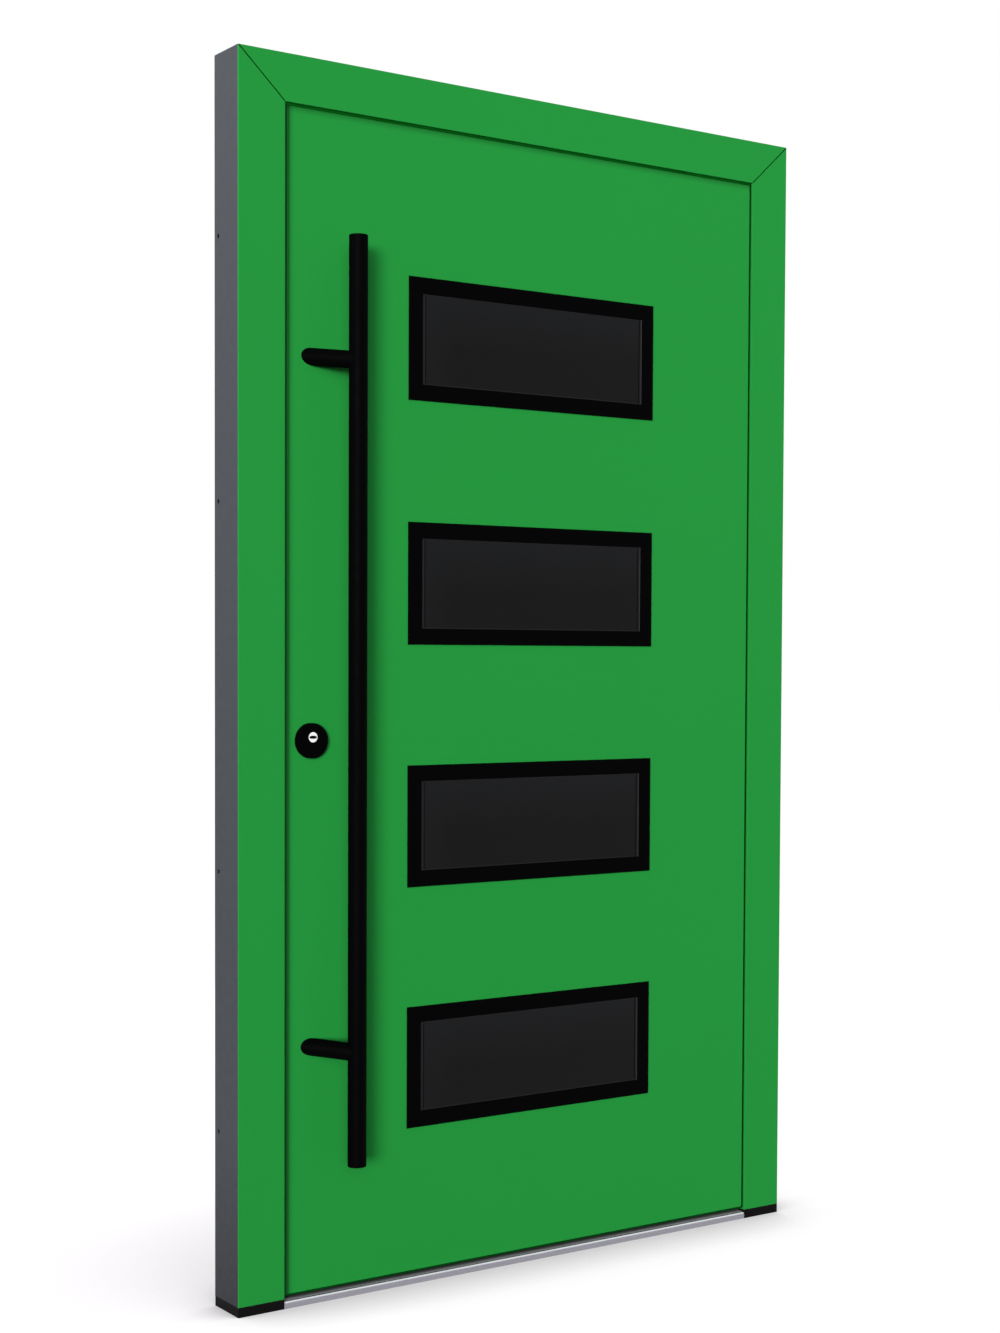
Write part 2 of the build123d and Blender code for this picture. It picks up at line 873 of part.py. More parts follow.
# Pull bar: a closed round tube on two posts that run sideways and slightly down to it
with BuildPart() as pull_bar:
    with BuildSketch(Plane.XY.offset(bar_centre_height - bar_length / 2)):
        with Locations((bar_x, bar_y)):
            Circle(bar_diameter / 2)
    extrude(amount=bar_length)
    fillet(pull_bar.edges().filter_by(GeomType.CIRCLE), bar_end_radius)
    with BuildSketch(Plane.XY.offset(bar_centre_height - bar_length / 2 + bar_wall)):
        with Locations((bar_x, bar_y)):
            Circle(bar_diameter / 2 - bar_wall)
    extrude(amount=bar_length - 2 * bar_wall, mode=Mode.SUBTRACT)
finish(pull_bar, "pull_bar")

post_slant = sqrt(bar_standoff**2 + bar_sideways**2 + post_drop**2)
with BuildPart() as pull_posts:
    for side in (-1, 1):
        height = bar_centre_height + side * post_spacing / 2
        base = Plane(origin=(post_x, leaf_face, height), z_dir=(bar_sideways, -bar_standoff, -post_drop))
        with BuildSketch(base.offset(-post_diameter)):
            Circle(post_diameter / 2)
        extrude(amount=post_slant + post_diameter)
    split(bisect_by=elevation(leaf_face), keep=Keep.TOP)
    with BuildSketch(Plane.XY.offset(bar_centre_height - bar_length / 2)):
        with Locations((bar_x, bar_y)):
            Circle(bar_diameter / 2)
    extrude(amount=bar_length, mode=Mode.SUBTRACT)
    for side in (-1, 1):
        rod(
            post_x,
            bar_centre_height + side * post_spacing / 2,
            post_bolt_diameter / 2,
            leaf_face - post_bolt_depth,
            leaf_face,
            mode=Mode.SUBTRACT,
        )
finish(pull_posts, "pull_posts")

with BuildPart() as pull_bolts:
    for side in (-1, 1):
        height = bar_centre_height + side * post_spacing / 2
        bolt_start = leaf_face - post_bolt_depth
        nut_start = skin_inside + leaf_wall
        rod(post_x, height, post_bolt_diameter / 2, bolt_start, bolt_start + post_bolt_length)
        rod(post_x, height, post_nut_diameter / 2, nut_start, nut_start + post_nut_thickness)
finish(pull_bolts, "pull_bolts")

# Lock: a long faceplate riveted to its case, with the bolts and rods that run in them
case_back = stile_edge + case_depth
with BuildPart() as lock_body:
    block(
        (stile_edge - faceplate_thickness, stile_edge),
        (lock_y - faceplate_width / 2, lock_y + faceplate_width / 2),
        (faceplate_bottom, faceplate_top),
    )
    block(
        (stile_edge, case_back),
        (lock_y - case_thickness / 2, lock_y + case_thickness / 2),
        (case_bottom, case_top),
    )
    block(
        (stile_edge, case_back - case_wall),
        (lock_y - case_thickness / 2 + case_wall, lock_y + case_thickness / 2 - case_wall),
        (case_bottom + case_wall, case_top - case_wall),
        mode=Mode.SUBTRACT,
    )
    slots = [(height, bolt_height) for height in bolt_heights] + [(latch_centre_height, latch_height)]
    for height, opening in slots:
        block(
            (stile_edge - faceplate_thickness - cut_margin, stile_edge + cut_margin),
            (lock_y - bolt_slot_half, lock_y + bolt_slot_half),
            (height - opening / 2 - slide_clearance, height + opening / 2 + slide_clearance),
            mode=Mode.SUBTRACT,
        )
    cut_cylinder_profile(lock_y - case_thickness, lock_y + case_thickness, profile_clearance)
    rod(
        hardware_x,
        lever_height,
        hub_radius - hub_shoulder,
        lock_y - case_thickness,
        lock_y + case_thickness,
        mode=Mode.SUBTRACT,
    )
finish(lock_body, "lock_body")

outer_face_x = stile_edge - faceplate_thickness
with BuildPart() as latch:
    block(
        (outer_face_x - latch_throw, outer_face_x - latch_throw + latch_length),
        (lock_y - bolt_thickness / 2, lock_y + bolt_thickness / 2),
        (latch_centre_height - latch_height / 2, latch_centre_height + latch_height / 2),
    )
    nose = latch.edges().filter_by(Axis.Z).group_by(Axis.X)[0].sort_by(Axis.Y)[-1]
    chamfer(nose, latch_nose_length, latch_nose_depth)
finish(latch, "latch")

with BuildPart() as bolts:
    for height in bolt_heights:
        block(
            (outer_face_x + bolt_setback, outer_face_x + bolt_setback + bolt_length),
            (lock_y - bolt_thickness / 2, lock_y + bolt_thickness / 2),
            (height - bolt_height / 2, height + bolt_height / 2),
        )
    chamfer(bolts.edges().group_by(Axis.X)[0], bolt_setback)
finish(bolts, "bolts")

rod_x = case_edge + slide_clearance
with BuildPart() as drive_rods:
    rod_depth = (lock_y - rod_width / 2, lock_y + rod_width / 2)
    block(
        (rod_x, rod_x + rod_thickness),
        rod_depth,
        (case_top + slide_clearance, upper_bolt_height - bolt_height / 2 - rod_end_gap),
    )
    block(
        (rod_x, rod_x + rod_thickness),
        rod_depth,
        (lower_bolt_height + bolt_height / 2 + rod_end_gap, case_bottom - rod_case_gap),
    )
finish(drive_rods, "drive_rods")

# Cylinder with its guard rosette outside and plain rosette inside
rosette_height = cylinder_height - rosette_drop
rosette_front = leaf_face - rosette_thickness
disc_front = rosette_front + disc_setback
disc_back = disc_front + disc_thickness
with BuildPart() as rosette_outer:
    rod(hardware_x, rosette_height, rosette_diameter / 2, rosette_front, leaf_face)
    fillet(rosette_outer.faces().sort_by(Axis.Y)[0].edges(), rosette_edge_radius)
    rod(
        hardware_x,
        cylinder_height,
        disc_diameter / 2 + running_clearance,
        rosette_front - cut_margin,
        disc_back + slide_clearance,
        mode=Mode.SUBTRACT,
    )
    cut_cylinder_profile(disc_back, leaf_face, profile_clearance)
finish(rosette_outer, "rosette_outer")

inner_rosette_face = back + inner_rosette_thickness
with BuildPart() as rosette_inner:
    rod(hardware_x, rosette_height, rosette_diameter / 2, back, inner_rosette_face)
    fillet(rosette_inner.faces().sort_by(Axis.Y)[-1].edges(), rosette_edge_radius)
    cut_cylinder_profile(back, inner_rosette_face, profile_clearance)
finish(rosette_inner, "rosette_inner")

body_front = disc_back + slide_clearance
with BuildPart() as cylinder_body:
    profile_foot = profile_height - profile_radius - profile_slot / 2
    with BuildSketch(elevation(body_front)):
        with Locations((hardware_x, cylinder_height)):
            Circle(profile_radius)
        with Locations((hardware_x, cylinder_height - profile_foot / 2)):
            Rectangle(profile_slot, profile_foot)
        with Locations((hardware_x, cylinder_height - profile_foot)):
            Circle(profile_slot / 2)
    extrude(amount=body_front - inner_rosette_face)
    rod(
        hardware_x,
        cylinder_height,
        plug_diameter / 2 + running_clearance,
        body_front - cut_margin,
        inner_rosette_face + cut_margin,
        mode=Mode.SUBTRACT,
    )
    rod(
        hardware_x,
        cylinder_height,
        cam_radius + cam_gap,
        lock_y - cam_thickness / 2 - cam_gap,
        lock_y + cam_thickness / 2 + cam_gap,
        mode=Mode.SUBTRACT,
    )
finish(cylinder_body, "cylinder_body")

with BuildPart() as cylinder_plug:
    rod(hardware_x, cylinder_height, disc_diameter / 2, disc_front, disc_back)
    rod(hardware_x, cylinder_height, plug_diameter / 2, disc_back, inner_rosette_face + thumbturn_gap)
    cam_depth = (lock_y - cam_thickness / 2, lock_y + cam_thickness / 2)
    rod(hardware_x, cylinder_height, plug_diameter / 2 + cam_collar, *cam_depth)
    block(
        (hardware_x - cam_width / 2, hardware_x + cam_width / 2),
        cam_depth,
        (cylinder_height - cam_radius + cam_tip_relief, cylinder_height),
    )
    with BuildSketch(elevation(disc_front)):
        with Locations((hardware_x, cylinder_height)):
            SlotOverall(keyway_width, keyway_height)
    extrude(amount=-keyway_depth, mode=Mode.SUBTRACT)
finish(cylinder_plug, "cylinder_plug")

with BuildPart() as thumbturn:
    turn_start = inner_rosette_face + thumbturn_gap
    rod(hardware_x, cylinder_height, plug_diameter / 2, turn_start, turn_start + thumbturn_standoff)
    with BuildSketch(elevation(turn_start + thumbturn_standoff)):
        with Locations((hardware_x, cylinder_height)):
            SlotOverall(thumbturn_length, thumbturn_thickness, rotation=90)
    extrude(amount=-thumbturn_depth)
    fillet(thumbturn.faces().sort_by(Axis.Y)[-1].edges(), grip_edge_radius)
finish(thumbturn, "thumbturn")

# Room-side lever
rose_face = back + lever_rose_thickness
with BuildPart() as lever_rose:
    rod(hardware_x, lever_height, lever_rose_diameter / 2, back, rose_face)
    fillet(lever_rose.faces().sort_by(Axis.Y)[-1].edges(), rosette_edge_radius)
    rod(
        hardware_x,
        lever_height,
        lever_neck_diameter / 2 + running_clearance,
        back - cut_margin,
        rose_face + cut_margin,
        mode=Mode.SUBTRACT,
    )
finish(lever_rose, "lever_rose")

grip_y = rose_face + lever_reach
with BuildPart() as lever:
    rod(hardware_x, lever_height, lever_neck_diameter / 2, back + neck_gap, grip_y)
    across(grip_y, lever_height, lever_grip_diameter / 2, hardware_x, hardware_x + lever_length)
    with Locations((hardware_x, grip_y, lever_height)):
        Sphere(lever_neck_diameter / 2)
    block(
        (hardware_x - spindle_side / 2, hardware_x + spindle_side / 2),
        (back, back + lever_reach),
        (lever_height - spindle_side / 2, lever_height + spindle_side / 2),
        mode=Mode.SUBTRACT,
    )
    fillet(lever.edges().filter_by(GeomType.CIRCLE).sort_by(Axis.X)[-1], grip_edge_radius)
finish(lever, "lever")

with BuildPart() as spindle:
    block(
        (hardware_x - spindle_side / 2, hardware_x + spindle_side / 2),
        (lock_y - hub_thickness / 2, back + lever_reach - spindle_end_gap),
        (lever_height - spindle_side / 2, lever_height + spindle_side / 2),
    )
    rod(hardware_x, lever_height, hub_radius, lock_y - hub_thickness / 2, lock_y + hub_thickness / 2)
finish(spindle, "spindle")

# Keeper: a pivoting catch in its housing, standing open, and plates for the bolts
pivot_x = -rebate_half - keeper_pivot_inset
pivot_y = front + keeper_pivot_depth
strike_bottom = latch_centre_height - strike_half_height
strike_top = latch_centre_height + strike_half_height
with BuildPart() as strike_housing:
    block(
        (-rebate_half - strike_depth, -rebate_half),
        (inner_shell_front + frame_wall + strike_inset, back - strike_inset),
        (strike_bottom, strike_top),
    )
    latch_half = latch_height / 2 + latch_pocket_clearance
    block(
        (-rebate_half - latch_pocket_depth, -rebate_half + cut_margin),
        (lock_y - bolt_half_thickness, back + cut_margin),
        (latch_centre_height - latch_half, latch_centre_height + latch_half),
        mode=Mode.SUBTRACT,
    )
    keeper_half = keeper_height / 2 + hinge_play
    block(
        (pivot_x - keeper_boss_radius - keeper_clearance, -rebate_half + cut_margin),
        (pivot_y - keeper_boss_radius - keeper_clearance, back + cut_margin),
        (latch_centre_height - keeper_half, latch_centre_height + keeper_half),
        mode=Mode.SUBTRACT,
    )
    for side in (-1, 1):
        start = latch_centre_height + side * keeper_half
        with BuildSketch(Plane.XY.offset(start)):
            with Locations((pivot_x, pivot_y)):
                Circle(keeper_pin_radius + running_clearance)
        extrude(amount=side * (keeper_pin_length + keeper_clearance), mode=Mode.SUBTRACT)
finish(strike_housing, "strike_housing")

with BuildPart() as strike_keeper:
    low = latch_centre_height - keeper_height / 2
    with BuildSketch(Plane.XY.offset(low)):
        with Locations((pivot_x, pivot_y)):
            Circle(keeper_boss_radius)
            Rectangle(keeper_thickness, keeper_arm, align=(Align.CENTER, Align.MIN))
    extrude(amount=keeper_height)
    with BuildSketch(Plane.XY.offset(low - keeper_pin_length)):
        with Locations((pivot_x, pivot_y)):
            Circle(keeper_pin_radius)
    extrude(amount=keeper_height + 2 * keeper_pin_length)
finish(strike_keeper, "strike_keeper")

with BuildPart() as bolt_keeps:
    for height in bolt_heights:
        block(
            (-rebate_half, -rebate_half + keep_thickness),
            (max(lock_y - keep_half_width, inner_shell_front), lock_y + keep_half_width),
            (height - keep_half_height, height + keep_half_height),
        )
        block(
            (-rebate_half - cut_margin, -rebate_half + keep_thickness + cut_margin),
            (lock_y - bolt_half_thickness, lock_y + bolt_half_thickness),
            (height - bolt_half_height, height + bolt_half_height),
            mode=Mode.SUBTRACT,
        )
finish(bolt_keeps, "bolt_keeps")


# Hinges: a plate and knuckles on the frame, a plate and knuckle on the leaf, one pin each
def upright(x, y, radius, z_range, mode=Mode.ADD):
    """A round bar or hole along Z."""
    with Locations((x, y, (z_range[0] + z_range[1]) / 2)):
        Cylinder(radius, z_range[1] - z_range[0], mode=mode)


def hinge_plate(near, far, z_range):
    """A hinge plate whose corners away from the knuckles, and whose edges, are rounded."""
    face = back + hinge_plate_thickness
    with BuildPart(mode=Mode.PRIVATE) as plate:
        block((near, far), (back, face), z_range)
        corners = plate.edges().filter_by(Axis.Y).filter_by_position(Axis.X, far - 0.1, far + 0.1)
        fillet(corners, hinge_plate_corner)
        fillet(plate.faces().sort_by(Axis.Y)[-1].edges(), hinge_plate_edge)
    add(plate.part)


pin_bore = hinge_pin_radius + running_clearance
plate_start = hinge_knuckle_radius + hinge_plate_gap
with BuildPart() as hinge_leaf_plates:
    for height in hinge_heights:
        middle = (height - hinge_middle / 2, height + hinge_middle / 2)
        whole = (height - hinge_height / 2, height + hinge_height / 2)
        hinge_plate(hinge_x - plate_start, hinge_x - plate_start - hinge_leaf_plate_width, whole)
        block((hinge_x - hinge_web, hinge_x), (back, hinge_y), middle)
        upright(hinge_x, hinge_y, hinge_knuckle_radius, middle)
        upright(hinge_x, hinge_y, pin_bore, whole, mode=Mode.SUBTRACT)
        for side in (-1, 1):
            rod(
                hinge_x - hinge_screw_inset - hinge_knuckle_radius,
                height + side * hinge_screw_spacing / 2,
                hinge_screw_radius,
                back - cut_margin,
                back + hinge_plate_thickness + cut_margin,
                mode=Mode.SUBTRACT,
            )
finish(hinge_leaf_plates, "hinge_leaf_plates")

with BuildPart() as hinge_frame_plates:
    for height in hinge_heights:
        whole = (height - hinge_height / 2, height + hinge_height / 2)
        lower = (whole[0], height - hinge_middle / 2 - hinge_play)
        upper = (height + hinge_middle / 2 + hinge_play, whole[1])
        hinge_plate(hinge_x + plate_start, hinge_x + plate_start + hinge_frame_plate_width, whole)
        for part_range in (lower, upper):
            block((hinge_x, hinge_x + hinge_web), (back, hinge_y), part_range)
            upright(hinge_x, hinge_y, hinge_knuckle_radius, part_range)
        upright(hinge_x, hinge_y, pin_bore, whole, mode=Mode.SUBTRACT)
        for side in (-1, 1):
            rod(
                hinge_x + hinge_screw_inset + hinge_knuckle_radius,
                height + side * hinge_screw_spacing / 2,
                hinge_screw_radius,
                back - cut_margin,
                back + hinge_plate_thickness + cut_margin,
                mode=Mode.SUBTRACT,
            )
finish(hinge_frame_plates, "hinge_frame_plates")

with BuildPart() as hinge_pins:
    for height in hinge_heights:
        whole = (height - hinge_height / 2, height + hinge_height / 2)
        upright(hinge_x, hinge_y, hinge_pin_radius, whole)
        upright(hinge_x, hinge_y, hinge_knuckle_radius, (whole[1], whole[1] + hinge_cap_height))
        upright(hinge_x, hinge_y, hinge_knuckle_radius, (whole[0] - hinge_cap_height, whole[0]))
        for end in (whole[0] - hinge_cap_height, whole[1] + hinge_cap_height):
            rims = hinge_pins.edges().filter_by(GeomType.CIRCLE)
            fillet(rims.filter_by_position(Axis.Z, end - 0.1, end + 0.1), hinge_cap_edge)
finish(hinge_pins, "hinge_pins")

for name, sign in (("hinge_screws_leaf", -1), ("hinge_screws_frame", 1)):
    with BuildPart() as hinge_screws:
        for height in hinge_heights:
            for side in (-1, 1):
                screw_x = hinge_x + sign * (hinge_screw_inset + hinge_knuckle_radius)
                screw_z = height + side * hinge_screw_spacing / 2
                plate_face = back + hinge_plate_thickness
                rod(screw_x, screw_z, hinge_screw_radius, back - hinge_screw_length, plate_face)
                rod(screw_x, screw_z, hinge_screw_head, plate_face, plate_face + hinge_screw_head_height)
    finish(hinge_screws, name)
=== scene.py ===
import json
from math import cos, pi, radians, sin

import bmesh
import bpy
from mathutils import Matrix, Vector


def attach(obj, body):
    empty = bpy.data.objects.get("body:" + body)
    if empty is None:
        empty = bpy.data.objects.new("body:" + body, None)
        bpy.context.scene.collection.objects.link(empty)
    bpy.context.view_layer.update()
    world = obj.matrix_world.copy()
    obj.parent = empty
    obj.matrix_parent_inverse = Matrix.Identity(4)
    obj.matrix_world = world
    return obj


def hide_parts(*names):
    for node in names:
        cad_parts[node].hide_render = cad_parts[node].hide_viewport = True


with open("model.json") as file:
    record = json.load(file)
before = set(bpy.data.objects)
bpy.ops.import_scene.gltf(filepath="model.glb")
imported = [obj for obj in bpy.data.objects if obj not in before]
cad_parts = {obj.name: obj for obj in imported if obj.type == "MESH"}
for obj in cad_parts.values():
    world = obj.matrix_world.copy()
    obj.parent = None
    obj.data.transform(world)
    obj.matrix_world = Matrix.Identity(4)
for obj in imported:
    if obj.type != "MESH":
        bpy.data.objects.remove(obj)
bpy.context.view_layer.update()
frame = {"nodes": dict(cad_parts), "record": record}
nodes = frame["nodes"]

BLACK = (0.0, 0.0, 0.0, 1.0)
WHITE = (1.0, 1.0, 1.0, 1.0)


# Colours are written as seen, and turned into the linear values that shaders take
def seen(red, green, blue):
    def linear(v):
        v /= 255
        return v / 12.92 if v <= 0.04045 else ((v + 0.055) / 1.055) ** 2.4
    return (linear(red), linear(green), linear(blue), 1.0)


def scaled(colour, factor):
    return tuple(min(1.0, c * factor) for c in colour[:3]) + (1.0,)


class Shader:
    """A material under construction: Principled shader, texture coordinates and a chain of bumps."""

    def __init__(self, name, roughness=0.5, metallic=0.0, specular=0.5):
        self.material = bpy.data.materials.new(name)
        self.material.use_nodes = True
        self.tree = self.material.node_tree
        self.tree.nodes.clear()
        self.out = self.tree.nodes.new("ShaderNodeOutputMaterial")
        self.main = self.tree.nodes.new("ShaderNodeBsdfPrincipled")
        self.main.inputs["Roughness"].default_value = roughness
        self.main.inputs["Metallic"].default_value = metallic
        self.main.inputs["Specular IOR Level"].default_value = specular
        self.link(self.main.outputs[0], self.out.inputs[0])
        self.coords = self.tree.nodes.new("ShaderNodeTexCoord")
        self.normal = None

    def link(self, a, b):
        self.tree.links.new(a, b)

    def mapped(self, stretch):
        node = self.tree.nodes.new("ShaderNodeMapping")
        node.inputs["Scale"].default_value = stretch
        self.link(self.coords.outputs["Object"], node.inputs[0])
        return node.outputs[0]

    def noise(self, scale, detail=2.0, stretch=(1, 1, 1), rough=0.5):
        node = self.tree.nodes.new("ShaderNodeTexNoise")
        node.inputs["Scale"].default_value = scale
        node.inputs["Detail"].default_value = detail
        node.inputs["Roughness"].default_value = rough
        self.link(self.mapped(stretch), node.inputs["Vector"])
        return node.outputs[0]

    def cells(self, scale, stretch=(1, 1, 1)):
        node = self.tree.nodes.new("ShaderNodeTexVoronoi")
        node.inputs["Scale"].default_value = scale
        self.link(self.mapped(stretch), node.inputs["Vector"])
        return node.outputs[0]

    def along(self, axis, source="Object"):
        """The place along X, Y or Z: metres in the object's own frame, or 0 to 1 if Generated."""
        split = self.tree.nodes.new("ShaderNodeSeparateXYZ")
        self.link(self.coords.outputs[source], split.inputs[0])
        return split.outputs["XYZ".index(axis)]

    def ranged(self, value, low, high, start=0.3, end=0.7):
        """The value led from low, where it is start, to high, where it is end."""
        node = self.tree.nodes.new("ShaderNodeMapRange")
        node.inputs["From Min"].default_value = start
        node.inputs["From Max"].default_value = end
        node.inputs["To Min"].default_value = low
        node.inputs["To Max"].default_value = high
        self.link(value, node.inputs[0])
        return node.outputs[0]

    def power(self, value, exponent):
        node = self.tree.nodes.new("ShaderNodeMath")
        node.operation = "POWER"
        node.inputs[1].default_value = exponent
        self.link(value, node.inputs[0])
        return node.outputs[0]

    def mix(self, factor, first, second):
        """Mixes two colours, each given as a value or as a socket."""
        node = self.tree.nodes.new("ShaderNodeMix")
        node.data_type = "RGBA"
        self.link(factor, node.inputs[0])
        for socket, colour in ((node.inputs[6], first), (node.inputs[7], second)):
            if isinstance(colour, tuple):
                socket.default_value = colour
            else:
                self.link(colour, socket)
        return node.outputs[2]

    def colour(self, value):
        self.link(value, self.main.inputs["Base Color"])

    def roughness(self, value):
        self.link(value, self.main.inputs["Roughness"])

    def bump(self, height, strength, distance):
        node = self.tree.nodes.new("ShaderNodeBump")
        node.inputs["Strength"].default_value = strength
        node.inputs["Distance"].default_value = distance
        self.link(height, node.inputs["Height"])
        if self.normal is not None:
            self.link(self.normal, node.inputs["Normal"])
        self.normal = node.outputs[0]
        self.link(self.normal, self.main.inputs["Normal"])


# Stretch of a texture into lines
lines_along_x = (0.02, 1, 1)
lines_along_z = (1, 1, 0.06)


def powder_coat(name, colour, roughness, specular, shades=()):
    """Baked powder paint: fine grain, a shallow orange peel and a slight drift of colour.

    Each painted shade darkens the paint towards one edge: (axis, amount, place of the edge, where it
    ends, falloff).
    """
    drift = 0.012
    s = Shader(name, roughness=roughness, specular=specular)
    drifting = s.ranged(s.noise(scale=1.7, detail=3.0), 0.0, 1.0)
    paint = s.mix(drifting, scaled(colour, 1 - drift), scaled(colour, 1 + drift))
    grain = s.ranged(s.noise(scale=900, detail=1.0), 0.0, 0.35)
    paint = s.mix(grain, paint, scaled(colour, 0.93))
    for axis, amount, edge, end, falloff in shades:
        near = s.power(s.ranged(s.along(axis), 1.0, 0.0, start=edge, end=end), falloff)
        paint = s.mix(s.ranged(near, 0.0, amount, start=0.0, end=1.0), paint, BLACK)
    s.colour(paint)
    s.roughness(s.ranged(s.noise(scale=60, detail=3.0), roughness - 0.05, roughness + 0.05))
    s.bump(s.noise(scale=170), strength=0.25, distance=0.00012)
    s.bump(s.noise(scale=1500, detail=1.0), strength=0.22, distance=0.00006)
    return s.material


def brushed_metal(name, colour, roughness, stretch, metallic=1.0):
    """Metal with fine lines along the axis that has the small stretch."""
    scale, streak = 900, 0.07
    s = Shader(name, roughness=roughness, metallic=metallic)
    lines = s.noise(scale, detail=3.0, stretch=stretch, rough=0.6)
    s.colour(s.mix(s.ranged(lines, 0.0, 1.0), scaled(colour, 1 - streak), scaled(colour, 1 + streak)))
    s.roughness(s.ranged(s.noise(scale / 3, stretch=stretch), roughness - 0.08, roughness + 0.08))
    s.bump(lines, strength=0.18, distance=0.00005)
    return s.material


def plated_metal(name, colour, tint, roughness):
    """Zinc or nickel plate: cloudy tint and tiny pits."""
    s = Shader(name, roughness=roughness, metallic=1.0)
    s.colour(s.mix(s.ranged(s.noise(scale=45, detail=4.0), 0.0, 1.0), colour, tint))
    s.roughness(s.ranged(s.noise(scale=260, detail=3.0), roughness - 0.07, roughness + 0.1))
    s.bump(s.noise(scale=1200), strength=0.15, distance=0.00005)
    return s.material


def moulded(name, colour, roughness, specular, grain=1300, depth=0.0001):
    """Plastic or rubber with an even mould grain."""
    s = Shader(name, roughness=roughness, specular=specular)
    cloud = s.ranged(s.noise(scale=30, detail=3.0), 0.0, 1.0)
    s.colour(s.mix(cloud, scaled(colour, 0.9), scaled(colour, 1.12)))
    s.roughness(s.ranged(s.noise(scale=220), roughness - 0.06, roughness + 0.06))
    s.bump(s.noise(grain), strength=0.3, distance=depth)
    return s.material


def rubber(name, colour, roughness=0.8, specular=0.02):
    return moulded(name, colour, roughness, specular, grain=2200, depth=0.00006)


def foam_material(name):
    """Pale foam with open cells."""
    s = Shader(name, roughness=0.9, specular=0.2)
    cell = s.cells(scale=420)
    walls = s.ranged(cell, 0.0, 1.0, start=0.0, end=0.8)
    s.colour(s.mix(walls, seen(222, 208, 160), seen(240, 230, 192)))
    s.bump(cell, strength=0.5, distance=0.0008)
    return s.material


def sill_material(name, colour):
    """Drawn aluminium, with a painted highlight on the slope behind its outer edge and painted shade
    darkening it under the leaf.
    """
    s = Shader(name, roughness=0.5, metallic=0.15)
    depth = s.along("Y")
    # Painted highlight: light behind the outer edge
    bright = s.mix(s.ranged(depth, 0.0, 1.0, start=-0.0424, end=-0.04), colour, seen(238, 238, 242))
    lines = s.ranged(s.noise(scale=900, detail=3.0, stretch=lines_along_x, rough=0.6), 0.0, 0.14)
    lined = s.mix(lines, bright, scaled(colour, 0.4))
    # Painted shade: darker towards the back, under the leaf
    outside_painted_shade = s.power(s.ranged(depth, 1.0, 0.0, start=-0.0368, end=-0.022), 2.0)
    s.colour(s.mix(outside_painted_shade, scaled(colour, 0.16), lined))
    s.roughness(s.ranged(s.noise(scale=300, stretch=lines_along_x), 0.42, 0.58))
    s.bump(s.noise(scale=700, detail=3.0, stretch=lines_along_x, rough=0.6), strength=0.18,
           distance=0.00005)
    return s.material


def glass_material(name):
    """Dark privacy glass with a faint ripple, and a painted reflection that makes each pane a little
    lighter at its top and left end.
    """
    s = Shader(name, roughness=0.06, specular=0.08)
    dark, light = seen(16, 16, 17), seen(24, 25, 27)
    # Painted reflection: lighter towards the pane's top and its left end
    painted_reflection_to_top = s.ranged(s.along("Z", "Generated"), 0.0, 1.0, start=0.45, end=1.0)
    painted_reflection_to_left = s.ranged(s.along("X", "Generated"), 0.6, 0.0, start=0.02, end=0.16)
    s.colour(s.mix(painted_reflection_to_left, s.mix(painted_reflection_to_top, dark, light), light))
    s.roughness(s.ranged(s.noise(scale=40), 0.05, 0.09))
    s.bump(s.noise(scale=7), strength=0.05, distance=0.0004)
    return s.material


leaf_green = seen(36, 152, 62)
green_coat = powder_coat("green_coat", leaf_green, 0.5, 0.08)
# Painted shade on the leaf's outer sheet: darker along the gap at its lock side and head
leaf_coat_painted_shade = powder_coat("leaf_coat_painted_shade", leaf_green, 0.5, 0.08, shades=(
    ("X", 0.45, -0.5048, -0.5018, 1.0),
    ("X", 0.6, -0.508, -0.4935, 1.5),
    ("Z", 0.5, 2.015, 2.002, 1.5),
))
# Painted shade: the grey pieces darken towards the foot
grey_coat_painted_shade = powder_coat("grey_coat_painted_shade", seen(67, 71, 76), 0.5, 0.1, shades=(
    ("Z", 0.45, 0.04, 0.3, 1.0),
))
black_coat = powder_coat("black_coat", seen(3, 3, 4), 0.55, 0.012)

satin_steel = brushed_metal("satin_steel", seen(168, 167, 165), 0.28, lines_along_z)
bare_aluminium = brushed_metal("bare_aluminium", seen(170, 168, 176), 0.5, lines_along_x, metallic=0.15)
polished_edge = brushed_metal("polished_edge", seen(222, 224, 231), 0.3, lines_along_x)
sill_aluminium = sill_material("sill_aluminium", seen(160, 158, 167))
zinc_steel = plated_metal("zinc_steel", seen(150, 155, 163), seen(170, 166, 150), 0.34)
satin_nickel = plated_metal("satin_nickel", seen(184, 180, 171), seen(196, 193, 186), 0.26)
bright_nickel = plated_metal("bright_nickel", seen(252, 252, 253), seen(255, 255, 255), 0.24)

black_plastic = moulded("black_plastic", seen(13, 11, 12), 0.6, 0.05)
# Painted highlight: the liner's grey stands in for the lit return of the trim
liner_painted_highlight = moulded("liner_painted_highlight", seen(52, 52, 56), 0.5, 0.1)
# Painted glint and painted shade: the pane's end lines, and the dark of the keyhole
pane_painted_glint = moulded("pane_painted_glint", seen(30, 31, 34), 0.4, 0.1)
painted_shade_black = moulded("painted_shade_black", seen(6, 6, 7), 0.5, 0.05)
seal_rubber = rubber("seal_rubber", seen(14, 14, 15), 0.7, 0.2)
# Painted shade: the drip lip's dark green
drip_lip_painted_shade = rubber("drip_lip_painted_shade", seen(4, 66, 16))
# Painted shade in the gap round the leaf: darkest at the hinge side, lightest at the lock side
lock_lip_painted_shade = rubber("lock_lip_painted_shade", seen(27, 120, 46))
hinge_lip_painted_shade = rubber("hinge_lip_painted_shade", seen(0, 46, 4))
head_lip_painted_shade = rubber("head_lip_painted_shade", seen(4, 86, 16))
seam_sealant = rubber("seam_sealant", seen(3, 66, 14))
foam = foam_material("foam")
dark_glass = glass_material("dark_glass")

